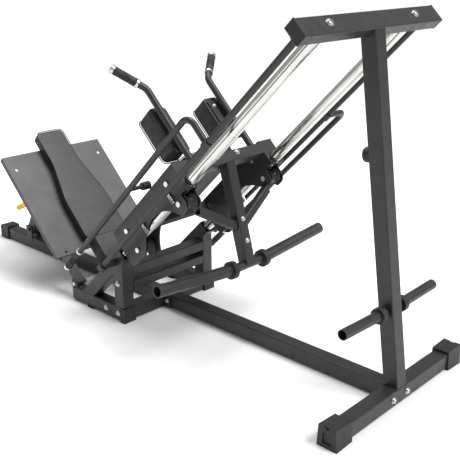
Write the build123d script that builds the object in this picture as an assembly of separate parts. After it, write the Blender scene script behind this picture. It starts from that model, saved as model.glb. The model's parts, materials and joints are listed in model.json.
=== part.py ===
from build123d import *
import os
from math import atan2, cos, hypot, sin

os.makedirs("parts", exist_ok=True)

# Driving dimensions, in millimetres. The frame is symmetric about X = 0.
# Y runs from the low front end (-Y) to the tall rear upright (+Y). Lengths along
# the machine are given as distances behind (negative) the rear face of its feet.
overall_length = 2590
rear_y = overall_length / 2
tube = 60
tube_wall = 3
corner = 5
floor_gap = 6
tube_top = floor_gap + tube

# The rails climb at 45 degrees. A point near them is (x, along, out): along the
# climb, and out of the rails towards the user.
rail_out = 1090
guide_x = 242
guide_radius = 24
guide_low = -700
incline_run = (-1150, -640)
beam_along = (733, 778)
beam_out = (1051, 1121)
beam_half = 383

# Rear base, upright and storage horns
rear_half = 408
cap_depth = 82
cap_length = 90
upright_foot_y = -45
upright_head = (-226, 1290)
upright_lean = (upright_head[0] - upright_foot_y) / (upright_head[1] - tube_top)
bumper_z = 878
storage_z = 343
storage_tip = 285

# Front base
side_y = (-1592, -1245)
post_y = (-1285, -1225)
cross_z = ((140, 180), (205, 250))

# Safety levers
lever_x = 340
lever_radius = 12
lever_offset = 127
lever_foot = -700
crank_along = 182
crank_bend = 45
grip_run = (-935, -783)
catch_along = -300
running_fit = 0.06

# Carriage at its lower stop, its place at rest
plate_x = (205, 280)
plate_thickness = 6
plate_low = (-560, -600)
carriage_high = -78
toe = -125
carriage_out = (1004, 1178)
roller_along = (-157, -510)
roller_offset = 46
roller_radius = 33
roller_width = 50
axle_radius = 6
beam_top = 1172
leg_width = 50
leg_head = (-873, 740)
horn_y = -757
horn_z = 328
horn_start = 92
horn_tip = (481, -763, 359)
handle_x = 170
handle_along = -92
handle_elbow = 1522
handle_tip = (277, 1638)

# Back frame: a plate square to the rails, tilting on an axle low in the base
back_along = -1055
back_low = 1317
back_width = 569
back_height = 570
back_pivot = (-1583, 80)
arm_x = 232
strut_foot = (-2310, 108)
strut_head = (504, -37)
strut_outer_length = 262

root_half = 0.5 ** 0.5
ground = Plane(origin=(0, rear_y, 0))
rail = Plane(origin=(0, rear_y, 0), x_dir=(1, 0, 0), z_dir=(0, -1, 1))
side_view = Plane(origin=(0, rear_y, 0), x_dir=(0, 1, 1), z_dir=(1, 0, 0))
back_y = (back_along - back_low) * root_half
back_z = (back_along + back_low) * root_half
back = Plane(origin=(0, rear_y + back_y, back_z), x_dir=(-1, 0, 0), z_dir=(0, 1, 1))
upward = (Align.CENTER, Align.CENTER, Align.MIN)


def point(frame, place):
    return frame.from_local_coords(Vector(*place))


def block(frame, x, along, up):
    """A box between two values on each of a frame's axes."""
    centre = [(pair[0] + pair[1]) / 2 for pair in (x, along, up)]
    size = [pair[1] - pair[0] for pair in (x, along, up)]
    return frame.location * Pos(*centre) * Box(*size)


def bar(frame, start, end, radius, bore=0):
    """A round bar, or a round tube, between two points."""
    first = point(frame, start)
    run = point(frame, end) - first
    place = Plane(origin=first, z_dir=run)
    solid = place.location * Cylinder(radius, run.length, align=upward)
    if bore:
        solid -= place.location * Cylinder(bore, run.length, align=upward)
    return solid


def square_tube(frame, start, end, size=(tube, tube), wall=tube_wall, across=(1, 0, 0)):
    """A square tube with rounded corners; a wall of 0 makes it solid."""
    first = point(frame, start)
    run = point(frame, end) - first
    place = Plane(origin=first, x_dir=across, z_dir=run)
    section = RectangleRounded(size[0], size[1], corner)
    if wall:
        section -= RectangleRounded(size[0] - 2 * wall, size[1] - 2 * wall, max(corner - wall, 1))
    return place.location * extrude(section, run.length)


def cross_tube(frame, x, along, up, wall=tube_wall):
    """A tube along X between two values on each axis."""
    middle = [(pair[0] + pair[1]) / 2 for pair in (along, up)]
    size = (along[1] - along[0], up[1] - up[0])
    return square_tube(frame, (x[0], *middle), (x[1], *middle), size, wall, frame.y_dir)


def long_tube(x, y, z, wall=tube_wall):
    """A tube along the machine's length."""
    middle = [(pair[0] + pair[1]) / 2 for pair in (x, z)]
    size = (x[1] - x[0], z[1] - z[0])
    return square_tube(ground, (middle[0], y[0], middle[1]), (middle[0], y[1], middle[1]), size, wall)


def bolt(frame, place, direction, radius=9):
    """A domed socket head on a washer, standing on the face at place."""
    foot = point(frame, place)
    way = point(frame, [place[i] + direction[i] for i in range(3)]) - foot
    head = Pos(0, 0, 2) * Cylinder(radius, 7, align=upward)
    head = fillet(head.edges().group_by(Axis.Z)[-1], 4)
    key = Pos(0, 0, 6) * extrude(RegularPolygon(radius * 0.4, 6), 4)
    return Plane(origin=foot, z_dir=way).location * (Cylinder(radius * 1.35, 2, align=upward) + head - key)


def largest(shape):
    return max(shape.solids(), key=lambda piece: piece.volume)


def span(side, low, high):
    """The stretch of X from low to high on one side of the machine."""
    return (low, high) if side > 0 else (-high, -low)


def write(name, *shapes):
    solids = [solid for shape in shapes for solid in shape.solids()]
    whole = Compound(children=solids) if len(solids) > 1 else solids[0]
    export_step(whole, f"parts/{name}.step")


def write_pair(name, build):
    write(name, build(1), build(-1))


def write_sides(name, build):
    write(f"{name}_right", build(1))
    write(f"{name}_left", build(-1))


# ---- rear base, upright and top beam ---------------------------------------
cap_y = -cap_depth / 2
crossbar_y = (cap_y - tube / 2, cap_y + tube / 2)
base_z = (floor_gap, tube_top)


def upright_y(height):
    return upright_foot_y + upright_lean * (height - tube_top)


def rear_foot_cap(side):
    """A flared rubber shoe with a recess in its end and a notch in its top edge."""
    sections = []
    for reach, low, high, top in ((cap_length, 38, 35, 76), (0, 41, 36, 80)):
        end = Plane(origin=(side * (rear_half - reach), rear_y + cap_y, 0), x_dir=(0, 1, 0), z_dir=(1, 0, 0))
        sections.append(end * Polygon((-low, 0), (low, 0), (high, top), (-high, top), align=None))
    shoe = loft(sections)
    shoe -= block(ground, span(side, rear_half - cap_length, rear_half - 8), crossbar_y, base_z)
    end_x = span(side, rear_half - 5, rear_half + 1)
    shoe -= block(ground, end_x, (cap_y - 18, cap_y + 18), (16, 56))
    return shoe - bar(ground, (end_x[0], cap_y, 80), (end_x[1], cap_y, 80), 11)


def beam_end_cap(side):
    return block(rail, span(side, beam_half, beam_half + 5), beam_along, beam_out)


def guide_rod(side):
    return bar(rail, (side * guide_x, guide_low, rail_out), (side * guide_x, beam_along[0], rail_out), guide_radius, 20)


def storage_horn(side):
    y = upright_y(storage_z)
    neck = bar(ground, (side * tube / 2, y, storage_z), (side * 82, y, storage_z), 15)
    return neck + bar(ground, (side * 82, y, storage_z), (side * storage_tip, y, storage_z + 6), 19, 16)


def storage_collar(side):
    y = upright_y(storage_z)
    return bar(ground, (side * 56, y, storage_z), (side * 80, y, storage_z), 29, 15)


write("rear_crossbar", cross_tube(ground, (8 - rear_half, rear_half - 8), crossbar_y, base_z))
write_pair("rear_foot_caps", rear_foot_cap)
beam_solid = block(rail, (-beam_half, beam_half), beam_along, beam_out)
upright = square_tube(ground, (0, upright_y(0), 0), (0, *upright_head))
upright -= block(ground, (-99, 99), (-200, 200), (-99, tube_top))
upright -= block(rail, (-99, 99), (beam_along[0], 1000), (beam_out[0], 1400))
write("rear_upright", largest(upright))
write("top_beam", cross_tube(rail, (-beam_half, beam_half), beam_along, beam_out))
write_pair("beam_end_caps", beam_end_cap)
write_pair("guide_rods", guide_rod)
write_pair("storage_horns", storage_horn)
write_pair("storage_collars", storage_collar)

lean = atan2(-upright_lean, 1)
bumper_foot = upright_y(bumper_z) - tube / 2 / cos(lean)
bumper = Cylinder(27, 30, align=upward)
bumper = fillet(bumper.edges().group_by(Axis.Z)[-1], 8) - Pos(0, 0, 18) * Cylinder(8, 20, align=upward)
bumper_face = Plane(origin=(0, rear_y + bumper_foot, bumper_z), z_dir=(0, -cos(lean), -sin(lean)))
write("upright_bumper", bumper_face.location * bumper)

# ---- spine and front base --------------------------------------------------
spine_front = 10 - overall_length
spine_half = tube / 2
flange = 8
write("spine", long_tube((-spine_half, spine_half), (spine_front, crossbar_y[0]), base_z))
front_cap = block(ground, (-37, 37), (-overall_length, 72 - overall_length), (0, tube_top + 8))
front_cap = fillet(front_cap.edges().filter_by(Axis.X).group_by(Axis.Z)[-1].sort_by(Axis.Y)[0], 12)
front_cap -= block(ground, (-spine_half, spine_half), (spine_front, -2000), base_z)
write("spine_front_cap", front_cap)

side_x = (guide_x - tube / 2, guide_x + tube / 2)
post_mid = sum(post_y) / 2


def incline_solid(side, wall=0):
    ends = [(side * guide_x, along, rail_out) for along in incline_run]
    return square_tube(rail, *ends, wall=wall)


def incline_tube(side):
    """The wall leaves a socket that the guide rod's low end fits."""
    below = block(ground, span(side, 100, 400), (-2000, -1000), (-400, tube_top))
    return largest(incline_solid(side, tube / 2 - guide_radius) - below)


def front_post(side):
    post = square_tube(ground, (side * guide_x, post_mid, tube_top), (side * guide_x, post_mid, 400))
    return min((post - incline_solid(side)).solids(), key=lambda piece: piece.center().Z)


def floor_tube(side):
    tube_piece = cross_tube(ground, span(side, spine_half + flange, side_x[0]), post_y, base_z)
    plate = block(ground, span(side, spine_half, spine_half + flange), (post_y[0] - 35, post_y[1] + 35), base_z)
    return tube_piece + plate


def side_tube_shoe(side):
    """A rubber shoe that closes the rear end of a side tube, and a foot near its front end."""
    shoe = block(ground, span(side, side_x[0], side_x[1] + 4), (side_y[1], side_y[1] + 28), (0, tube_top))
    foot = block(ground, span(side, guide_x - 34, guide_x + 34), (-1480, -1440), (0, floor_gap))
    return Compound(children=[shoe, foot])


write_pair("base_side_tubes", lambda side: long_tube(span(side, *side_x), side_y, base_z))
write_pair("incline_tubes", incline_tube)
write_pair("front_posts", front_post)
write("front_cross_tubes", *[cross_tube(ground, (-side_x[0], side_x[0]), post_y, z) for z in cross_z])
write_pair("front_floor_tubes", floor_tube)
write_pair("front_feet", side_tube_shoe)

# ---- safety levers ---------------------------------------------------------


def lever_frame(side):
    """Axes of a lever: the way its handle stands off its rod, and the rod itself.

    At rest the right lever stands out of the rails and the left one lies sideways."""
    across = (0, -1, 1) if side > 0 else (-1, 0, 0)
    return Plane(origin=point(rail, (side * lever_x, 0, rail_out)), x_dir=across, z_dir=(0, 1, 1))


def lever_bush(side):
    """The rod's two bearings: one under the top beam, one on an arm off the incline."""
    hole = bar(rail, (side * lever_x, lever_foot - 8, rail_out), (side * lever_x, 900, rail_out),
               lever_radius + running_fit)
    top = bar(rail, (side * lever_x, 711, rail_out), (side * lever_x, beam_along[0], rail_out), 20)
    arm = block(rail, span(side, side_x[1], lever_x), (lever_foot - 14, lever_foot + 12), (rail_out - 12, rail_out + 12))
    arm += bar(rail, (side * lever_x, lever_foot - 14, rail_out), (side * lever_x, lever_foot + 12, rail_out), 20)
    return Compound(children=[top - hole, arm - hole])


def lever_rod(side):
    return bar(lever_frame(side), (0, 0, lever_foot - 7), (0, 0, beam_along[0] - 1), lever_radius, 8)


def lever_tube(side):
    frame = lever_frame(side)
    corners = ((0, crank_along), (lever_offset, crank_along), (lever_offset, grip_run[0] + 6))
    path = FilletPolyline(*[point(frame, (off, 0, along)) for off, along in corners], radius=crank_bend)
    section = Plane(origin=path @ 0, z_dir=path % 0) * (Circle(lever_radius) - Circle(lever_radius - tube_wall))
    ring = bar(frame, (0, 0, crank_along - 16), (0, 0, crank_along + 16), 17)
    return sweep(section, path=path) + ring - bar(frame, (0, 0, -800), (0, 0, 800), lever_radius)


def lever_grip(side):
    frame = lever_frame(side)
    grip = bar(frame, (lever_offset, 0, grip_run[0]), (lever_offset, 0, grip_run[1]), 16)
    return grip - bar(frame, (lever_offset, 0, grip_run[0] + 6), (lever_offset, 0, 0), lever_radius)


def lever_catch(side):
    """A cross shaft that points in over the rail, with a rubber roller on its end."""
    frame = lever_frame(side)
    ends = [(lever_offset, -side * reach, catch_along) for reach in (lever_radius, 106)]
    shaft = bar(frame, *ends, 8)
    ends = [(lever_offset, -side * reach, catch_along) for reach in (68, 104)]
    return Compound(children=[shaft, bar(frame, *ends, 16, 8)])


write_pair("lever_bushes", lever_bush)
write_sides("lever_rod", lever_rod)
write_sides("lever_tube", lever_tube)
write_sides("lever_grip", lever_grip)
write_sides("lever_catch", lever_catch)

# ---- carriage --------------------------------------------------------------
arch_middle = -330
arch_half = 150
arch_rise = 85
arch_radius = (arch_half ** 2 + arch_rise ** 2) / (2 * arch_rise)
inner_face = plate_x[0] - plate_thickness / 2
outer_face = plate_x[1] + plate_thickness / 2
roller_places = [(along, rail_out + rise) for along in roller_along for rise in (roller_offset, -roller_offset)]


def carriage_plate(side, x, low):
    """A roller plate: rounded lower corners, and an arch between the lower rollers."""
    view = side_view.offset(side * x - plate_thickness / 2)
    outline = Polygon((low, carriage_out[0]), (toe, carriage_out[0]), (toe, 1066), (carriage_high, 1066),
                      (carriage_high, carriage_out[1]), (low, carriage_out[1]), align=None)
    outline = fillet(outline.vertices().group_by(Axis.Y)[0], 32)
    outline -= Pos(arch_middle, carriage_out[0] + arch_rise - arch_radius) * Circle(arch_radius)
    for along, out in roller_places:
        outline -= Pos(along, out) * Circle(axle_radius)
    return view * extrude(outline, plate_thickness)


def carriage_web(side):
    """The back of a channel, turned in at its high end over the guide rod."""
    x = span(side, plate_x[0] + plate_thickness / 2, plate_x[1] - plate_thickness / 2)
    web = block(rail, x, (plate_low[1], carriage_high), (carriage_out[1] - 5, carriage_out[1]))
    web += block(rail, x, (carriage_high - 5, carriage_high), (1060, carriage_out[1]))
    return web - bar(rail, (side * guide_x, -100, rail_out), (side * guide_x, 0, rail_out), guide_radius + 3)


def roller_axle(side, along, out):
    """A pin through both plates with a head outside each."""
    pin = bar(rail, (side * (inner_face - 7), along, out), (side * (outer_face + 7), along, out), axle_radius)
    for low, high in ((inner_face - 7, inner_face), (outer_face, outer_face + 7)):
        pin += bar(rail, (side * low, along, out), (side * high, along, out), 11)
    return pin


def roller(side, along, out):
    """A grooved wheel that rides on the guide rod."""
    low = (side * guide_x - roller_width / 2, along, out)
    high = (side * guide_x + roller_width / 2, along, out)
    wheel = bar(rail, low, high, roller_radius, axle_radius + running_fit)
    middle = Plane(origin=point(rail, (side * guide_x, along, out)), z_dir=(1, 0, 0))
    return wheel - middle.location * Torus(roller_offset, guide_radius + 0.3)


write_pair("carriage_plates_outer", lambda side: carriage_plate(side, plate_x[1], plate_low[1]))
write_pair("carriage_plates_inner", lambda side: carriage_plate(side, plate_x[0], plate_low[0]))
write_pair("carriage_webs", carriage_web)
write("roller_axles", *[roller_axle(side, *place) for side in (1, -1) for place in roller_places])
for name, place in zip(("upper_top", "upper_under", "lower_top", "lower_under"), roller_places):
    write(f"rollers_{name}", roller(1, *place), roller(-1, *place))

cross_beams = [((carriage_high - 50, carriage_high), (beam_top - 50, beam_top)), ((-568, -528), (beam_top - 40, beam_top))]
write("carriage_beams", *[cross_tube(rail, (-inner_face, inner_face), *pair) for pair in cross_beams])

leg_run = hypot(leg_head[0] - horn_y, leg_head[1] - horn_z)
leg_way = ((leg_head[0] - horn_y) / leg_run, (leg_head[1] - horn_z) / leg_run)
leg_low = (0, horn_y, horn_z)
horn_bar = bar(ground, (-horn_start, horn_y, horn_z), (horn_start, horn_y, horn_z), 18)


def leg_solid(wall):
    return square_tube(ground, leg_low, (0, *leg_head), (leg_width, leg_width), wall)


def carriage_brace(side):
    solid = square_tube(rail, (side * 215, -172, 1012), (0, -232, 900), (34, 34))
    solid -= block(rail, span(side, inner_face, 400), (-500, 200), (800, 1300))
    return largest(solid - leg_solid(0))


write("carriage_leg", largest(leg_solid(4) - block(rail, (-99, 99), (-400, 200), (beam_top - 50, 1400)) - horn_bar))
write_pair("carriage_braces", carriage_brace)


def horn_place(side, reach):
    """A point on the axis of a weight sleeve, which rises a little to its tip."""
    part = (reach - horn_start) / (horn_tip[0] - horn_start)
    rise = [low + part * (high - low) for low, high in zip((horn_y, horn_z), horn_tip[1:])]
    return (side * reach, *rise)


def horn_collar(side):
    solid = bar(ground, horn_place(side, 82), horn_place(side, 104), 36)
    return solid - horn_bar


write("horn_axle", horn_bar)
write_pair("horn_collars", horn_collar)
write_pair("horn_sleeves", lambda side: bar(ground, horn_place(side, 104), horn_place(side, horn_tip[0]), 24, 20))

pad_half = 140
pad_run = (-640, -145)
pad_out = (beam_top + 12, beam_top + 62)
board = block(rail, (20 - pad_half, pad_half - 20), (pad_run[0] + 20, pad_run[1] - 20), (beam_top, beam_top + 12))
write("carriage_pad_board", board)
carriage_pad = extrude(RectangleRounded(2 * pad_half, pad_run[1] - pad_run[0], 32), pad_out[1] - pad_out[0])
write("carriage_pad", rail.location * Pos(0, sum(pad_run) / 2, pad_out[0]) * carriage_pad)


def handle_tube(side):
    corners = ((handle_x, beam_top), (handle_x, handle_elbow), handle_tip)
    path = FilletPolyline(*[point(rail, (side * x, handle_along, out)) for x, out in corners], radius=45)
    return sweep(Plane(origin=path @ 0, z_dir=path % 0) * (Circle(14) - Circle(14 - tube_wall)), path=path)


def handle_grip(side):
    tip = point(rail, (side * handle_tip[0], handle_along, handle_tip[1]))
    inward = point(rail, (side * handle_x, handle_along, handle_elbow)) - tip
    place = Plane(origin=tip, z_dir=inward)
    return place.location * (Pos(0, 0, -4) * Cylinder(18, 124, align=upward) - Cylinder(14, 150, align=upward))


def shoulder_bracket(side):
    plate = block(rail, span(side, 118, handle_x + 14), (handle_along - 30, handle_along - 24), (1236, 1430))
    tab = block(rail, span(side, handle_x - 5, handle_x + 5), (handle_along - 24, handle_along), (1246, 1420))
    return plate + tab - bar(rail, (side * handle_x, handle_along, 1000), (side * handle_x, handle_along, 1500), 14)


def shoulder_pad(side):
    pad = extrude(RectangleRounded(92, 212, 22), 92)
    middle = Plane(origin=point(rail, (side * 150, handle_along - 30, 1348)), x_dir=(1, 0, 0), z_dir=(0, -1, -1))
    return middle.location * pad


write_pair("handle_tubes", handle_tube)
write_pair("handle_grips", handle_grip)
write_pair("shoulder_brackets", shoulder_bracket)
write_sides("shoulder_pad", shoulder_pad)

# ---- back frame ------------------------------------------------------------
pivot_y, pivot_z = back_pivot
pivot = back.to_local_coords(Vector(0, rear_y + pivot_y, pivot_z))
axle_half = 272
ear_x = (259, 267)
plate_holes = ((226, 16), (243, back_height - 79))
plate_hole = 8
back_plate = block(back, (-back_width / 2, back_width / 2), (0, back_height), (-5, 0))
for side in (1, -1):
    for x, up in plate_holes:
        back_plate -= bar(back, (side * x, up, -20), (side * x, up, 20), plate_hole)
    back_plate += block(back, span(side, back_width / 2 - 4, back_width / 2), (0, back_height), (-24, -5))
pin_hole = bar(back, (-60, *strut_head), (60, *strut_head), 6)
for side in (1, -1):
    lug = block(back, span(side, 25, 31), (strut_head[0] - 20, strut_head[0] + 20), (strut_head[1] - 16, -5))
    back_plate += lug - pin_hole


def pivot_lug(side):
    """An ear on a base side tube that holds an end of the axle."""
    ear = block(ground, span(side, *ear_x), (pivot_y - 20, pivot_y + 20), (tube_top, pivot_z + 18))
    return ear - bar(ground, (-axle_half, pivot_y, pivot_z), (axle_half, pivot_y, pivot_z), 8)


def back_arm(side):
    """A flat bar behind the plate, with an eye that turns on the axle."""
    arm = block(back, span(side, arm_x - 24, arm_x + 24), (pivot.Y, 40), (-15, -5))
    x, up = plate_holes[0]
    arm -= bar(back, (side * x, up, -20), (side * x, up, 0), plate_hole)
    arm += bar(ground, (-side * (arm_x - 24), pivot_y, pivot_z), (-side * (arm_x + 24), pivot_y, pivot_z), 13)
    return arm - bar(ground, (-300, pivot_y, pivot_z), (300, pivot_y, pivot_z), 8 + running_fit)


pad_outline = [(-120, 30), (120, 30), (120, 250), (77, 450), (77, 643), (-77, 643), (-77, 450), (-120, 250)]
pad_face = fillet(Polygon(*pad_outline, align=None).vertices(), 26)
seat_up = (-108, 6)
seat_rise = (34, 118)
write("pivot_axle", bar(ground, (-axle_half, pivot_y, pivot_z), (axle_half, pivot_y, pivot_z), 8))
write_pair("pivot_lugs", pivot_lug)
write("back_plate", back_plate)
write_pair("back_arms", back_arm)
write("back_pad", back.location * extrude(pad_face, 54))
seat = extrude(RectangleRounded(250, seat_up[1] - seat_up[0], 22), seat_rise[1] - seat_rise[0])
write("seat_pad", back.location * Pos(0, sum(seat_up) / 2, seat_rise[0]) * seat)
seat_bracket = block(back, (-70, 70), (seat_up[0] + 12, seat_up[1]), (28, 34))
seat_bracket += block(back, (-70, 70), (-6, 0), (-5, 34)) + block(back, (-70, 70), (-6, 20), (-11, -5))
write("seat_bracket", seat_bracket)

# ---- strut that props the back frame, with its release lever ---------------
foot = Vector(0, rear_y + strut_foot[0], strut_foot[1])
head = point(back, (0, *strut_head))
strut = Plane(origin=foot, x_dir=(1, 0, 0), z_dir=head - foot)
strut_length = (head - foot).length
lever_pivot = (188, -42)
strut_bolt = bar(ground, (-34, *strut_foot), (34, *strut_foot), 6)
strut_bolt += bar(ground, (32, *strut_foot), (39, *strut_foot), 11) + bar(ground, (-39, *strut_foot), (-32, *strut_foot), 11)
ears = [block(ground, span(side, 26, 32), (strut_foot[0] - 24, strut_foot[0] + 24), (tube_top - 20, strut_foot[1] + 20))
        for side in (1, -1)]
spine_solid = block(ground, (-spine_half, spine_half), (spine_front, 0), base_z)
write("strut_bracket", strut_bolt, *[ear - strut_bolt - spine_solid for ear in ears])

outer = square_tube(strut, (0, 0, -16), (0, 0, strut_outer_length), (50, 50))
outer -= bar(ground, (-40, *strut_foot), (40, *strut_foot), 6 + running_fit)
for side in (1, -1):
    ear = block(strut, span(side, 9.5, 14), (lever_pivot[1] - 12, -25), (lever_pivot[0] - 14, lever_pivot[0] + 14))
    outer += ear - bar(strut, (-20, lever_pivot[1], lever_pivot[0]), (20, lever_pivot[1], lever_pivot[0]), 5)
release_pin = bar(strut, (-17, lever_pivot[1], lever_pivot[0]), (17, lever_pivot[1], lever_pivot[0]), 5)
write("strut_outer", outer, release_pin)
inner = square_tube(strut, (0, 0, 40), (0, 0, strut_length + 16), (43.2, 43.2))
write("strut_inner", inner - bar(strut, (-40, 0, strut_length), (40, 0, strut_length), 8.5))

lever_eye = point(strut, (0, lever_pivot[1], lever_pivot[0]))
grip_ends = [Vector(0, rear_y + y, z) for y, z in ((-2451, 190), (-2346, 236))]
lever_way = Plane(origin=lever_eye, x_dir=(1, 0, 0), z_dir=grip_ends[0] - lever_eye)
lever_reach = (grip_ends[0] - lever_eye).length
release = bar(lever_way, (0, 0, 10), (0, 0, lever_reach - 4), 8) + bar(lever_way, (-9, 0, 0), (9, 0, 0), 12)
release -= bar(lever_way, (-20, 0, 0), (20, 0, 0), 5 + running_fit)
grip = bar(lever_way, (0, 0, lever_reach - 115), (0, 0, lever_reach), 14)
write("release_lever", release, grip - bar(lever_way, (0, 0, 0), (0, 0, lever_reach - 4), 8))

# ---- fasteners -------------------------------------------------------------
flange_x = spine_half + flange
frame_bolts = [bolt(ground, (x, crossbar_y[1], 36), (0, 1, 0)) for x in (-30, 60)]
for side in (1, -1):
    frame_bolts.append(bolt(rail, (side * guide_x, beam_along[1], 1089), (0, 1, 0), 11))
    frame_bolts += [bolt(ground, (side * side_x[1], y, 38), (side, 0, 0)) for y in (-1345, -1262)]
    frame_bolts.append(bolt(ground, (side * side_x[1], post_mid, 178), (side, 0, 0)))
    frame_bolts += [bolt(ground, (side * flange_x, y, 36), (side, 0, 0)) for y in (-1303, -1207)]
write("frame_bolts", *frame_bolts)

carriage_bolts = [bolt(rail, (x, carriage_high, 1155), (0, 1, 0)) for x in (-61, 61)]
leg_normal = (0, leg_way[1], -leg_way[0])
for rise in (180, 94):
    y = horn_y + rise * leg_way[0] / leg_way[1]
    place = (0, y + leg_normal[1] * leg_width / 2, horn_z + rise + leg_normal[2] * leg_width / 2)
    carriage_bolts.append(bolt(ground, place, leg_normal, 8))
for side in (1, -1):
    carriage_bolts += [bolt(rail, (side * 140, handle_along - 24, out), (0, 1, 0), 7) for out in (1280, 1404)]
    for along in (-395, -175):
        ends = [(side * (outer_face + 6), along, out) for out in (1060, 1105)]
        carriage_bolts.append(bar(rail, *ends, 6))
write("carriage_bolts", *carriage_bolts)
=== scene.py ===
"""Looks of a 45 degree leg press: finishes, upholstery, grips and studio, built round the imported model."""

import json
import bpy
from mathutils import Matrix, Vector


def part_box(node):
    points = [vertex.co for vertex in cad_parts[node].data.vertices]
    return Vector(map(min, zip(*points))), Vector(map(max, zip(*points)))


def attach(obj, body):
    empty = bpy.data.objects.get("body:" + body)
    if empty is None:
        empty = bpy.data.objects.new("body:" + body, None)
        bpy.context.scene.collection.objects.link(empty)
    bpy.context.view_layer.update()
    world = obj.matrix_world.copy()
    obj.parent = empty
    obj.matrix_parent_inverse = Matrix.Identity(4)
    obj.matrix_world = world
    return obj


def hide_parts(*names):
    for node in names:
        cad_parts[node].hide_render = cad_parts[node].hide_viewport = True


bl_info = {
    "name": "Leg press finishes",
    "version": (1, 0, 0),
    "blender": (4, 5, 0),
    "location": "View3D > Sidebar > Leg press",
    "description": "Upholstery, grips, small fittings and finishes for a 45 degree leg press",
    "category": "Object",
}

from math import pi, radians

import bmesh
import bpy
from bpy.props import FloatProperty, FloatVectorProperty, IntProperty, PointerProperty
from mathutils import Matrix, Vector
from mathutils.kdtree import KDTree

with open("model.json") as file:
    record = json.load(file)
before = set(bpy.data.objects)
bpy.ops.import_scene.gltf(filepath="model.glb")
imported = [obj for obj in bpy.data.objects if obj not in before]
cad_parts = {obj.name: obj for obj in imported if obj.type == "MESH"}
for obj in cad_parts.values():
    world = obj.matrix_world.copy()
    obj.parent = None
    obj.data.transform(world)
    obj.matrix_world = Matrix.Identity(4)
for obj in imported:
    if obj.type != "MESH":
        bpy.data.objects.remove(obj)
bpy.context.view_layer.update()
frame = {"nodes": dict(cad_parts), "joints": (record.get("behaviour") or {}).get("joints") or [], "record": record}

MM = 0.001
ACROSS = Vector((1, 0, 0))
CLIMB = Vector((0, 1, 1)).normalized()      # up the rails
OUTWARD = Vector((0, -1, 1)).normalized()   # out of the rails, towards the user
REAR = 1.295                                # rear face of the feet

# Places on the right handle, given across, up and out of the rails in millimetres
HANDLE_TIP = (277, -92, 1638)
HANDLE_ELBOW = (170, -92, 1522)
LEVER_GRIP_LOW = -935                       # low end of both lever grips, up the rails
LEVER_GRIP_SPOTS = {"right": (340, 1217), "left": (-467, 1090)}   # across and out, at rest
RELEASE_TIP = (0, REAR - 2.451, 0.19)       # in metres, in the machine's own frame


def rail_point(x, along, out):
    """A place given across, up and out of the rails, in millimetres."""
    return Vector((0, REAR, 0)) + (ACROSS * x + CLIMB * along + OUTWARD * out) * MM


# ---- settings --------------------------------------------------------------
class LegPressPadSettings(bpy.types.PropertyGroup):
    """How the upholstery is stuffed and sewn."""

    pressure: FloatProperty(name="Pressure", description="Air pressure that plumps a pad", default=4.0, min=0)
    voxel: FloatProperty(name="Voxel", description="Size of the remeshed faces", default=0.006, unit="LENGTH")
    frames: IntProperty(name="Frames", description="Frames that the cloth runs for", default=20, min=1)
    swell: FloatProperty(name="Swell", description="Most that a point may move", default=0.009, unit="LENGTH")
    welt: FloatProperty(name="Welt", description="Radius of the piping cord", default=0.0022, unit="LENGTH")


class LegPressFinishSettings(bpy.types.PropertyGroup):
    """Colours of the machine."""

    paint: FloatVectorProperty(name="Frame paint", description="Satin black powder coat", subtype="COLOR",
                               size=3, default=(0.018, 0.018, 0.019), min=0, max=1)
    # Plate paint is painted light: a charcoal, lighter copy of the black frame paint that stands in for light
    # falling on the plate's up-facing side
    plate: FloatVectorProperty(name="Plate paint", description="Charcoal coat of the back plate",
                               subtype="COLOR", size=3, default=(0.06, 0.06, 0.062), min=0, max=1)
    # Face vinyl is painted light: a lighter copy of the black side vinyl that stands in for light falling on the
    # pads' upward faces
    vinyl: FloatVectorProperty(name="Face vinyl", description="Upholstery of the pad faces", subtype="COLOR",
                               size=3, default=(0.05, 0.05, 0.052), min=0, max=1)
    grip: FloatVectorProperty(name="Release grip", description="Yellow of the release lever", subtype="COLOR",
                              size=3, default=(0.85, 0.5, 0.02), min=0, max=1)


def pads():
    return bpy.context.scene.leg_press_pads


def finishes():
    return bpy.context.scene.leg_press_finishes


# ---- materials -------------------------------------------------------------
def add_node(material, kind, **inputs):
    node = material.node_tree.nodes.new(kind)
    for name, value in inputs.items():
        node.inputs[name.replace("_", " ")].default_value = value
    return node


def join(material, source, target):
    material.node_tree.links.new(source, target)


def noise(material, coordinates, scale, detail=3.0, stretch=(1, 1, 1), turn=(0, 0, 0)):
    """A noise pattern in metres, drawn out along an axis where stretch says so."""
    mapping = add_node(material, "ShaderNodeMapping", Scale=stretch, Rotation=turn)
    texture = add_node(material, "ShaderNodeTexNoise", Scale=scale, Detail=detail)
    join(material, coordinates, mapping.inputs["Vector"])
    join(material, mapping.outputs["Vector"], texture.inputs["Vector"])
    return texture.outputs["Fac"]


def remap(material, value, low, high, out_low, out_high):
    """Turns the stretch low to high of a value into out_low to out_high."""
    node = material.node_tree.nodes.new("ShaderNodeMapRange")
    for name, number in (("From Min", low), ("From Max", high), ("To Min", out_low), ("To Max", out_high)):
        node.inputs[name].default_value = number
    join(material, value, node.inputs["Value"])
    return node.outputs["Result"]


def mix_colour(material, factor, first, second):
    node = material.node_tree.nodes.new("ShaderNodeMix")
    node.data_type = "RGBA"
    join(material, factor, node.inputs["Factor"])
    for socket, colour in ((node.inputs["A"], first), (node.inputs["B"], second)):
        if isinstance(colour, tuple):
            socket.default_value = (*colour, 1)
        else:
            join(material, colour, socket)
    return node.outputs["Result"]


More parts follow.
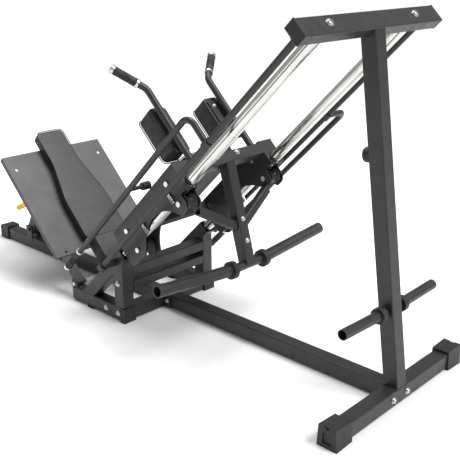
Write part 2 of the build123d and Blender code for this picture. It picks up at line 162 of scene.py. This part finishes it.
def edge_wear(material, coordinates, radius):
    """Nearly 1 along outer edges, broken up by noise, and 0 on open faces."""
    bevel = add_node(material, "ShaderNodeBevel", Radius=radius)
    bevel.samples = 4
    geometry = material.node_tree.nodes.new("ShaderNodeNewGeometry")
    dot = material.node_tree.nodes.new("ShaderNodeVectorMath")
    dot.operation = "DOT_PRODUCT"
    join(material, bevel.outputs["Normal"], dot.inputs[0])
    join(material, geometry.outputs["Normal"], dot.inputs[1])
    edge = remap(material, dot.outputs["Value"], 0.99, 0.8, 0, 1)
    patches = remap(material, noise(material, coordinates, 60), 0.45, 0.65, 0.1, 1)
    multiply = material.node_tree.nodes.new("ShaderNodeMath")
    multiply.operation = "MULTIPLY"
    join(material, edge, multiply.inputs[0])
    join(material, patches, multiply.inputs[1])
    return multiply.outputs["Value"]


def start_material(name, metallic=0.0, specular=0.5):
    material = bpy.data.materials.new(name)
    material.use_nodes = True
    shader = material.node_tree.nodes["Principled BSDF"]
    shader.inputs["Metallic"].default_value = metallic
    shader.inputs["Specular IOR Level"].default_value = specular
    coordinates = material.node_tree.nodes.new("ShaderNodeTexCoord").outputs["Object"]
    return material, shader, coordinates


def add_bump(material, shader, height, distance, strength=1.0):
    bump = add_node(material, "ShaderNodeBump", Strength=strength, Distance=distance)
    join(material, height, bump.inputs["Height"])
    join(material, bump.outputs["Normal"], shader.inputs["Normal"])


def powder_coat(name, colour, wear=(0.09, 0.09, 0.09), grain=900, depth=0.00012, rough=(0.34, 0.5)):
    """Baked powder paint: orange peel, faint handling marks and paler rubbed edges."""
    material, shader, coordinates = start_material(name)
    cloud = noise(material, coordinates, 9, 4)
    paler = tuple(c * 1.35 for c in colour)
    shade = mix_colour(material, remap(material, cloud, 0.3, 0.7, 0, 1), colour, paler)
    worn = mix_colour(material, edge_wear(material, coordinates, 0.0015), shade, wear)
    join(material, worn, shader.inputs["Base Color"])
    smear = noise(material, coordinates, 28, 5)
    join(material, remap(material, smear, 0.3, 0.7, *rough), shader.inputs["Roughness"])
    add_bump(material, shader, noise(material, coordinates, grain, 2), depth)
    return material


def bare_metal(name, colour, rough, streak_turn=(0, 0, 0), stretch=(1, 1, 1)):
    """Plated or polished metal with fine drawn streaks and a little tarnish."""
    material, shader, coordinates = start_material(name, metallic=1.0)
    streak = noise(material, coordinates, 260, 3, stretch, streak_turn)
    tarnish = remap(material, noise(material, coordinates, 14, 4), 0.35, 0.75, 0, 1)
    dull = tuple(c * 0.86 for c in colour)
    join(material, mix_colour(material, tarnish, colour, dull), shader.inputs["Base Color"])
    join(material, remap(material, streak, 0.3, 0.7, *rough), shader.inputs["Roughness"])
    add_bump(material, shader, streak, 0.00003)
    return material


def moulded(name, colour, rough=(0.5, 0.7), grain=700, depth=0.0001, wear=None):
    """Rubber or nylon straight from a mould."""
    material, shader, coordinates = start_material(name, specular=0.4)
    cloud = remap(material, noise(material, coordinates, 22, 4), 0.35, 0.7, 0, 1)
    shade = mix_colour(material, cloud, colour, tuple(c * 1.5 for c in colour))
    if wear:
        shade = mix_colour(material, edge_wear(material, coordinates, 0.002), shade, wear)
    join(material, shade, shader.inputs["Base Color"])
    smear = noise(material, coordinates, 45, 4)
    join(material, remap(material, smear, 0.3, 0.7, *rough), shader.inputs["Roughness"])
    add_bump(material, shader, noise(material, coordinates, grain, 3), depth)
    return material


def upholstery(name, colour, rough=(0.42, 0.6)):
    """Vinyl cloth with an embossed hide grain, its creases darkened in colour as painted shade."""
    material, shader, coordinates = start_material(name, specular=0.45)
    cells = material.node_tree.nodes.new("ShaderNodeTexVoronoi")
    cells.feature = "DISTANCE_TO_EDGE"
    cells.inputs["Scale"].default_value = 520
    wobble = material.node_tree.nodes.new("ShaderNodeVectorMath")
    wobble.operation = "MULTIPLY_ADD"
    wander = add_node(material, "ShaderNodeTexNoise", Scale=170, Detail=2)
    join(material, coordinates, wander.inputs["Vector"])
    join(material, wander.outputs["Color"], wobble.inputs[0])
    wobble.inputs[1].default_value = (0.0022, 0.0022, 0.0022)
    join(material, coordinates, wobble.inputs[2])
    join(material, wobble.outputs["Vector"], cells.inputs["Vector"])
    crease = remap(material, cells.outputs["Distance"], 0, 0.22, 0, 1)
    cloud = mix_colour(material, remap(material, noise(material, coordinates, 12, 4), 0.35, 0.7, 0, 1),
                       colour, tuple(c * 1.25 for c in colour))
    # Painted shade: the grain's creases are darkened to 0.6 of the colour, while the raised cells keep the cloudy
    # tone
    crease_shaded_colour = mix_colour(material, crease, tuple(c * 0.6 for c in colour), cloud)
    join(material, crease_shaded_colour, shader.inputs["Base Color"])
    smear = noise(material, coordinates, 30, 4)
    join(material, remap(material, smear, 0.3, 0.7, *rough), shader.inputs["Roughness"])
    add_bump(material, shader, crease, 0.00018)
    return material


def backing_board(name):
    """Grey cloth stretched over the board under a cushion."""
    material, shader, coordinates = start_material(name, specular=0.2)
    grain = noise(material, coordinates, 180, 6)
    shade = mix_colour(material, grain, (0.06, 0.06, 0.06), (0.2, 0.2, 0.2))
    join(material, shade, shader.inputs["Base Color"])
    join(material, remap(material, grain, 0.2, 0.8, 0.6, 0.8), shader.inputs["Roughness"])
    add_bump(material, shader, grain, 0.0002)
    return material


materials = {}


class LegPressOperator(bpy.types.Operator):
    """Shared options of this file's operators."""

    bl_options = {"REGISTER", "UNDO"}


class LEGPRESS_OT_materials(LegPressOperator):
    """Make every finish of the machine and give the steel parts theirs"""

    bl_idname = "legpress.materials"
    bl_label = "Finishes"

    def execute(self, context):
        colours = finishes()
        streaks = (radians(-45), 0, 0)
        materials.update({
            "frame_paint": powder_coat("satin_black_paint", tuple(colours.paint)),
            # Painted light: the plate's charcoal tone is a lighter copy of the black frame paint, standing in for
            # light on its up-facing side
            "plate_paint": powder_coat("charcoal_paint", tuple(colours.plate), (0.16, 0.16, 0.16),
                                       420, 0.0002, (0.45, 0.6)),
            "chrome": bare_metal("hard_chrome", (0.74, 0.73, 0.7), (0.1, 0.2), streaks, (1, 0.05, 1)),
            "steel": bare_metal("zinc_plate", (0.72, 0.72, 0.72), (0.2, 0.34)),
            "rubber": moulded("moulded_rubber", (0.016, 0.016, 0.015), (0.45, 0.62),
                              wear=(0.06, 0.058, 0.05)),
            "roller_nylon": moulded("roller_nylon", (0.012, 0.012, 0.012), (0.35, 0.5), 500, 0.00006),
            "grip_rubber": moulded("grip_rubber", (0.02, 0.02, 0.02), (0.55, 0.75), 1100, 0.0002),
            "yellow_grip": moulded("yellow_grip", tuple(colours.grip), (0.35, 0.5), 600, 0.00008),
            # Painted light: the face vinyl is a lighter, lit copy of the black side vinyl, standing in for light
            # on the pads' upward faces
            "vinyl": upholstery("face_vinyl", tuple(colours.vinyl)),
            "vinyl_side": upholstery("side_vinyl", (0.014, 0.014, 0.015)),
            "welt": upholstery("piping_vinyl", (0.11, 0.11, 0.11), (0.3, 0.42)),
            "board": backing_board("backing_cloth"),
        })
        slots = {row["node"]: row["material_slot"] for row in frame["record"]["subparts"]}
        for node, piece in frame["nodes"].items():
            piece.data.materials.clear()
            piece.data.materials.append(materials[slots[node]])
        return {"FINISHED"}


# ---- mesh helpers ----------------------------------------------------------
def start_edit(piece):
    bpy.context.view_layer.objects.active = piece
    bpy.ops.object.mode_set(mode="EDIT")
    bpy.ops.mesh.select_all(action="DESELECT")


def end_edit():
    bpy.ops.object.mode_set(mode="OBJECT")


def choose(piece, test, kind="faces"):
    """Selects, in edit mode, the faces or edges whose middle passes the test."""
    mesh = bmesh.from_edit_mesh(piece.data)
    bpy.ops.mesh.select_all(action="DESELECT")
    bpy.ops.mesh.select_mode(type="FACE" if kind == "faces" else "EDGE")
    for item in getattr(mesh, kind):
        if test(item):
            item.select_set(True)
    mesh.select_flush_mode()
    bmesh.update_edit_mesh(piece.data)


def deselect():
    bpy.ops.object.select_all(action="DESELECT")


def apply_modifier(piece, name):
    bpy.context.view_layer.objects.active = piece
    bpy.ops.object.modifier_apply(modifier=name)


def place(piece, origin, x_axis, y_axis):
    """Carries a piece from its own upright axes to its place, and puts that into its mesh."""
    x = x_axis.normalized()
    z = x.cross(y_axis).normalized()
    turn = Matrix((x, z.cross(x), z)).transposed()
    piece.matrix_world = Matrix.Translation(origin) @ turn.to_4x4()
    deselect()
    piece.select_set(True)
    bpy.context.view_layer.objects.active = piece
    bpy.ops.object.transform_apply(location=True, rotation=True, scale=True)


def settle(piece, name, body, finish, angle=35):
    """Names a finished piece, shades it, gives it a finish and lets it ride on its body."""
    piece.name = name
    piece.data.name = name
    deselect()
    piece.select_set(True)
    bpy.context.view_layer.objects.active = piece
    bpy.ops.object.shade_smooth_by_angle(angle=radians(angle))
    if finish:
        piece.data.materials.clear()
        piece.data.materials.append(materials[finish])
    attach(piece, body)
    return piece


def turned(profile, start, direction, steps=48):
    """A turned piece: a profile of (distance, radius) in millimetres, spun about an axis."""
    deselect()
    bpy.ops.mesh.primitive_plane_add(size=0.01)
    piece = bpy.context.object
    start_edit(piece)
    bpy.ops.mesh.select_all(action="SELECT")
    bpy.ops.mesh.delete(type="VERT")
    mesh = bmesh.from_edit_mesh(piece.data)
    points = [mesh.verts.new((radius * MM, 0, along * MM)) for along, radius in profile]
    for first, second in zip(points, points[1:]):
        mesh.edges.new((first, second))
    bmesh.update_edit_mesh(piece.data)
    bpy.ops.mesh.select_all(action="SELECT")
    bpy.ops.mesh.spin(steps=steps, angle=2 * pi, center=(0, 0, 0), axis=(0, 0, 1))
    bpy.ops.mesh.select_all(action="SELECT")
    bpy.ops.mesh.remove_doubles(threshold=0.00002)
    bpy.ops.mesh.normals_make_consistent(inside=False)
    end_edit()
    across = direction.orthogonal().normalized()
    place(piece, start, across, direction.normalized().cross(across))
    return piece


def cord_ring(name, points, radius):
    """A round cord laid in a closed ring through points, as a mesh."""
    curve = bpy.data.curves.new(name, "CURVE")
    curve.dimensions = "3D"
    curve.bevel_depth = radius
    curve.bevel_resolution = 3
    spline = curve.splines.new("POLY")
    spline.points.add(len(points) - 1)
    for target, source in zip(spline.points, points):
        target.co = (*source, 1)
    spline.use_cyclic_u = True
    piece = bpy.data.objects.new(name, curve)
    bpy.context.collection.objects.link(piece)
    deselect()
    piece.select_set(True)
    bpy.context.view_layer.objects.active = piece
    bpy.ops.object.convert(target="MESH")
    return bpy.context.object


# ---- upholstery ------------------------------------------------------------
def pad_block(width, length, height, radius, waist=None):
    """A block with rounded corners, on its own axes; waist narrows it towards its far end."""
    deselect()
    bpy.ops.mesh.primitive_cube_add(size=1, location=(0, 0, height / 2), scale=(width, length, height))
    piece = bpy.context.object
    bpy.ops.object.transform_apply(location=True, rotation=True, scale=True)
    if waist:
        narrow, start, end = waist
        start_edit(piece)
        for y in (start, end):
            bpy.ops.mesh.select_all(action="SELECT")
            bpy.ops.mesh.bisect(plane_co=(0, y, 0), plane_no=(0, 1, 0))
        choose(piece, lambda edge: min(v.co.y for v in edge.verts) > end - 0.001, "edges")
        bpy.ops.transform.resize(value=(narrow, 1, 1), center_override=(0, 0, 0))
        end_edit()
    start_edit(piece)
    bpy.ops.mesh.select_all(action="SELECT")
    bpy.ops.mesh.dissolve_limited(angle_limit=radians(1))
    choose(piece, lambda edge: abs(edge.verts[0].co.z - edge.verts[1].co.z) > height * 0.9, "edges")
    bpy.ops.mesh.bevel(offset=radius, segments=8, affect="EDGES")
    end_edit()
    return piece


def rim_of(piece, spacing=0.004):
    """Points round the edge of the block's top face, evenly close."""
    top = max(piece.data.polygons, key=lambda face: face.center.z * (face.normal.z > 0.9) * face.area)
    corners = [piece.data.vertices[index].co.copy() for index in top.vertices]
    points = []
    for first, second in zip(corners, corners[1:] + corners[:1]):
        steps = max(1, round((second - first).length / spacing))
        points += [first.lerp(second, step / steps) for step in range(steps)]
    return points


def plump(piece, rim):
    """Remeshes a block and lets cloth under pressure crown it between its seams."""
    settings = pads()
    remesh = piece.modifiers.new("Remesh", "REMESH")
    remesh.mode = "VOXEL"
    remesh.voxel_size = settings.voxel
    apply_modifier(piece, remesh.name)
    seams = [Vector(point) for point in rim] + [Vector((point.x, point.y, 0)) for point in rim]
    from_seam = nearest(seams)
    held = piece.vertex_groups.new(name="seam")
    for vertex in piece.data.vertices:
        if from_seam(vertex.co) < settings.voxel * 0.9 or vertex.co.z < 0.002:
            held.add([vertex.index], 1.0, "REPLACE")
    rest = [vertex.co.copy() for vertex in piece.data.vertices]
    run_cloth(piece, settings)
    for vertex, start in zip(piece.data.vertices, rest):
        moved = vertex.co - start
        if moved.length > settings.swell:
            vertex.co = start + moved.normalized() * settings.swell
        vertex.co.z = max(vertex.co.z, 0)
    smooth = piece.modifiers.new("Smooth", "SMOOTH")
    smooth.factor = 0.5
    smooth.iterations = 3
    apply_modifier(piece, smooth.name)
    finer = piece.modifiers.new("Subdivision", "SUBSURF")
    finer.levels = finer.render_levels = 1
    apply_modifier(piece, finer.name)


def nearest(points):
    """A function that gives the distance from a place to the nearest of the points."""
    tree = KDTree(len(points))
    for index, point in enumerate(points):
        tree.insert(point, index)
    tree.balance()
    return lambda spot: tree.find(spot)[2]


def run_cloth(piece, settings):
    scene = bpy.context.scene
    cloth = piece.modifiers.new("Cloth", "CLOTH")
    cloth.settings.use_pressure = True
    cloth.settings.uniform_pressure_force = settings.pressure
    cloth.settings.effector_weights.gravity = 0
    cloth.settings.vertex_group_mass = "seam"
    cloth.settings.quality = 4
    cloth.collision_settings.use_collision = False
    cloth.point_cache.frame_start = 1
    cloth.point_cache.frame_end = settings.frames
    for number in range(1, settings.frames + 1):
        scene.frame_set(number)
    apply_modifier(piece, cloth.name)
    scene.frame_set(1)


def make_pad(name, node, body, size, radius, spot, waist=None):
    """One upholstered pad with its piping, in place of the node's plain block."""
    width, length, height = [value * MM for value in size]
    piece = pad_block(width, length, height, radius * MM, waist)
    rim = rim_of(piece)
    plump(piece, rim)
    origin, x_axis, y_axis = spot
    piece.data.materials.clear()
    piece.data.materials.append(materials["vinyl"])
    piece.data.materials.append(materials["vinyl_side"])
    # Painted light: the top faces take the lighter face vinyl and the sides the darker side vinyl, lit and shaded
    # copies of one black vinyl
    for face in piece.data.polygons:
        face.material_index = 0 if face.center.z > height - 0.002 and face.normal.z > 0.3 else 1
    welt = cord_ring(f"{name}_piping", rim, pads().welt)
    place(piece, origin, x_axis, y_axis)
    place(welt, origin, x_axis, y_axis)
    settle(piece, name, body, None, 60)
    settle(welt, f"{name}_piping", body, "welt", 60)
    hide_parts(node)
    return piece


def middle_of(node):
    low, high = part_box(node)
    return (low + high) / 2


def pad_spot(node, height, outward, x_axis, y_axis):
    """Where a pad's own axes go: the middle of its underside, and two of its directions."""
    return middle_of(node) - outward * height * MM / 2, x_axis, y_axis


class LEGPRESS_OT_carriage_pad(LegPressOperator):
    """Upholster the cushion on the carriage"""

    bl_idname = "legpress.carriage_pad"
    bl_label = "Carriage cushion"

    def execute(self, context):
        spot = pad_spot("carriage_pad", 50, OUTWARD, ACROSS, CLIMB)
        make_pad("carriage_cushion", "carriage_pad", "carriage", (278, 493, 46), 32, spot)
        return {"FINISHED"}


class LEGPRESS_OT_shoulder_pads(LegPressOperator):
    """Upholster the two shoulder pads"""

    bl_idname = "legpress.shoulder_pads"
    bl_label = "Shoulder pads"

    def execute(self, context):
        for side in ("right", "left"):
            node = f"shoulder_pad_{side}"
            spot = pad_spot(node, 92, -CLIMB, ACROSS, OUTWARD)
            make_pad(f"shoulder_cushion_{side}", node, "carriage", (90, 210, 88), 22, spot)
        return {"FINISHED"}


class LEGPRESS_OT_back_pads(LegPressOperator):
    """Upholster the tapered back pad and the seat at its foot"""

    bl_idname = "legpress.back_pads"
    bl_label = "Back pad and seat"

    def execute(self, context):
        waist = (77 / 120, -0.0865, 0.1135)
        spot = pad_spot("back_pad", 54, CLIMB, -ACROSS, OUTWARD)
        make_pad("back_cushion", "back_pad", "back_frame", (238, 611, 50), 26, spot, waist)
        spot = pad_spot("seat_pad", 84, CLIMB, -ACROSS, OUTWARD)
        make_pad("seat_cushion", "seat_pad", "back_frame", (248, 124, 80), 22, spot)
        return {"FINISHED"}


# ---- grips, rings and the release lever ------------------------------------
def ribbed_grip(length, radius, bore, ribs=9, pitch=4.0):
    """The profile of a rubber grip: beaded ends and a band of shallow ribs."""
    profile = [(0, bore), (0, radius - 1.5), (1.5, radius), (7, radius + 0.6), (9, radius - 0.6)]
    band = length / 2 - ribs * pitch / 2
    profile += [(band - 10, radius - 0.3)]
    for rib in range(ribs):
        start = band + rib * pitch
        profile += [(start, radius - 0.9), (start + 1, radius)]
        profile += [(start + 2.6, radius), (start + 3.4, radius - 0.9)]
    profile += [(length - band + 10, radius - 0.3), (length - 9, radius - 0.6), (length - 7, radius + 0.6)]
    return profile + [(length - 1.5, radius), (length, radius - 1.5), (length, bore), (0, bore)]


def ring_profile(low, high, radius, bore):
    return [(low, bore), (low, radius - 1), (low + 1, radius), (high - 1, radius), (high, radius - 1),
            (high, bore), (low, bore)]


def end_plug(depth, radius):
    """A domed plug that closes a tube end."""
    return [(0.1, 0), (-depth * 0.35, radius * 0.5), (-depth * 0.2, radius * 0.85), (0, radius),
            (depth, radius), (depth, 0)]


class LEGPRESS_OT_handle_grips(LegPressOperator):
    """Make the grips at the tips of the carriage handles, with their silver rings"""

    bl_idname = "legpress.handle_grips"
    bl_label = "Handle grips"

    def execute(self, context):
        for side, name in ((1, "right"), (-1, "left")):
            tip, elbow = [rail_point(side * spot[0], *spot[1:]) for spot in (HANDLE_TIP, HANDLE_ELBOW)]
            inward = elbow - tip
            grip = turned(ribbed_grip(96, 17.5, 14.1), tip + inward.normalized() * 0.012, inward)
            settle(grip, f"handle_grip_{name}", "carriage", "grip_rubber")
            for label, low, high in (("tip", -3, 11), ("root", 108.5, 120)):
                ring = turned(ring_profile(low, high, 18.4, 14.1), tip, inward)
                settle(ring, f"handle_ring_{label}_{name}", "carriage", "steel")
            plug = turned(end_plug(3, 14), tip - inward.normalized() * 0.0005, inward, 32)
            settle(plug, f"handle_plug_{name}", "carriage", "rubber")
        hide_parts("handle_grips")
        return {"FINISHED"}


class LEGPRESS_OT_lever_grips(LegPressOperator):
    """Make the grips on the safety levers, with their silver rings"""

    bl_idname = "legpress.lever_grips"
    bl_label = "Lever grips"

    def execute(self, context):
        for name, (x, out) in LEVER_GRIP_SPOTS.items():
            foot = rail_point(x, LEVER_GRIP_LOW, out)
            start = rail_point(x, LEVER_GRIP_LOW + 13, out)
            grip = turned(ribbed_grip(126, 15.5, 12.1, 11), start, CLIMB)
            settle(grip, f"lever_handgrip_{name}", f"lever_{name}", "grip_rubber")
            for label, low, high in (("tip", 0, 12.5), ("root", 139.5, 151)):
                ring = turned(ring_profile(low, high, 16, 12.1), foot, CLIMB)
                settle(ring, f"lever_ring_{label}_{name}", f"lever_{name}", "steel")
            plug = turned(end_plug(6, 12), rail_point(x, LEVER_GRIP_LOW + 0.5, out), CLIMB, 32)
            settle(plug, f"lever_plug_{name}", f"lever_{name}", "rubber")
            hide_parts(f"lever_grip_{name}")
        return {"FINISHED"}


class LEGPRESS_OT_release_lever(LegPressOperator):
    """Make the release lever: a black rod with an eye, and a yellow grip"""

    bl_idname = "legpress.release_lever"
    bl_label = "Release lever"

    def execute(self, context):
        hinge = next(joint for joint in frame["joints"] if joint["name"] == "release_squeeze")
        eye = Vector(hinge["pos_m"])
        tip = Vector(RELEASE_TIP)
        way = tip - eye
        reach = way.length / MM
        rod = turned([(10, 0), (10, 8), (reach - 6, 8), (reach - 4, 6), (reach - 4, 0)], eye, way, 32)
        settle(rod, "release_rod", "release_lever_body", "frame_paint")
        ring = turned([(-9, 5.1), (-9, 11), (-8, 12), (8, 12), (9, 11), (9, 5.1), (-9, 5.1)], eye, ACROSS)
        settle(ring, "release_eye", "release_lever_body", "frame_paint")
        start = reach - 115
        profile = [(start, 8.1), (start, 12), (start + 2, 13.5), (start + 10, 14)]
        for rib in range(8):
            low = start + 22 + rib * 9
            profile += [(low, 14), (low + 1.5, 13), (low + 3.5, 13), (low + 5, 14)]
        profile += [(reach - 8, 14), (reach - 3, 12), (reach - 0.5, 7), (reach, 0)]
        profile += [(reach - 3.6, 0), (reach - 3.6, 8.1), (start, 8.1)]
        grip = turned(profile, eye, way)
        settle(grip, "release_handgrip", "release_lever_body", "yellow_grip")
        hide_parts("release_lever")
        return {"FINISHED"}


# ---- stage -----------------------------------------------------------------
def add_light(name, location, target, size, power):
    bpy.ops.object.light_add(type="AREA", location=location)
    light = bpy.context.object
    light.name = name
    light.data.shape = "DISK"
    light.data.size = size
    light.data.energy = power
    light.rotation_euler = (Vector(target) - Vector(location)).to_track_quat("-Z", "Y").to_euler()
    return light


class LEGPRESS_OT_stage(LegPressOperator):
    """Set the floor, the studio light and the camera"""

    bl_idname = "legpress.stage"
    bl_label = "Stage"

    def execute(self, context):
        deselect()
        bpy.ops.mesh.primitive_plane_add(size=60)
        floor = context.object
        floor.name = "studio_floor"
        material, shader, coordinates = start_material("studio_floor")
        speck = noise(material, coordinates, 3, 3)
        shade = mix_colour(material, speck, (0.93, 0.93, 0.93), (0.96, 0.96, 0.96))
        join(material, shade, shader.inputs["Base Color"])
        shader.inputs["Roughness"].default_value = 0.85
        floor.data.materials.append(material)
        world = bpy.data.worlds.new("studio")
        world.use_nodes = True
        nodes, links = world.node_tree.nodes, world.node_tree.links
        soft = nodes["Background"]
        soft.inputs["Color"].default_value = (1, 1, 1, 1)
        soft.inputs["Strength"].default_value = 0.4
        backdrop = nodes.new("ShaderNodeBackground")
        backdrop.inputs["Color"].default_value = (1, 1, 1, 1)
        mix = nodes.new("ShaderNodeMixShader")
        links.new(nodes.new("ShaderNodeLightPath").outputs["Is Camera Ray"], mix.inputs["Fac"])
        links.new(soft.outputs["Background"], mix.inputs[1])
        links.new(backdrop.outputs["Background"], mix.inputs[2])
        links.new(mix.outputs["Shader"], nodes["World Output"].inputs["Surface"])
        context.scene.world = world
        bpy.ops.object.light_add(type="SUN", location=(-1.5, 4.2, 4.4))
        sun = context.object
        sun.name = "key"
        sun.data.energy = 2.9
        sun.data.angle = radians(30)
        sun.rotation_euler = Vector((1.5, -4.2, -5.4)).to_track_quat("-Z", "Y").to_euler()
        add_light("top", (-0.4, -0.6, 4.6), (0, 0, 0.4), 3.0, 120)
        bpy.ops.object.camera_add(location=(2.201, 2.511, 1.5225))
        camera = context.object
        forward = Vector((-0.6866, -0.6455, -0.3345))
        camera.rotation_euler = forward.to_track_quat("-Z", "Y").to_euler()
        camera.data.lens = 61.6
        camera.data.sensor_width = 36
        camera.data.clip_end = 200
        context.scene.camera = camera
        context.scene.view_settings.view_transform = "Standard"
        return {"FINISHED"}


# ---- panel and registration ------------------------------------------------
operators = (
    LEGPRESS_OT_materials,
    LEGPRESS_OT_carriage_pad,
    LEGPRESS_OT_shoulder_pads,
    LEGPRESS_OT_back_pads,
    LEGPRESS_OT_handle_grips,
    LEGPRESS_OT_lever_grips,
    LEGPRESS_OT_release_lever,
    LEGPRESS_OT_stage,
)


class LEGPRESS_PT_panel(bpy.types.Panel):
    """The sidebar list of this file's operators"""

    bl_idname = "LEGPRESS_PT_panel"
    bl_label = "Leg press"
    bl_space_type = "VIEW_3D"
    bl_region_type = "UI"
    bl_category = "Leg press"

    def draw(self, context):
        for group in (pads(), finishes()):
            for name in group.bl_rna.properties.keys():
                if name not in ("rna_type", "name"):
                    self.layout.prop(group, name)
        for operator in operators:
            self.layout.operator(operator.bl_idname)


classes = (LegPressPadSettings, LegPressFinishSettings, *operators, LEGPRESS_PT_panel)


def register():
    for cls in classes:
        bpy.utils.register_class(cls)
    bpy.types.Scene.leg_press_pads = PointerProperty(type=LegPressPadSettings)
    bpy.types.Scene.leg_press_finishes = PointerProperty(type=LegPressFinishSettings)


def unregister():
    del bpy.types.Scene.leg_press_finishes
    del bpy.types.Scene.leg_press_pads
    for cls in reversed(classes):
        bpy.utils.unregister_class(cls)


def main():
    register()
    for operator in operators:
        group, name = operator.bl_idname.split(".")
        getattr(getattr(bpy.ops, group), name)()


if __name__ == "__main__":
    main()
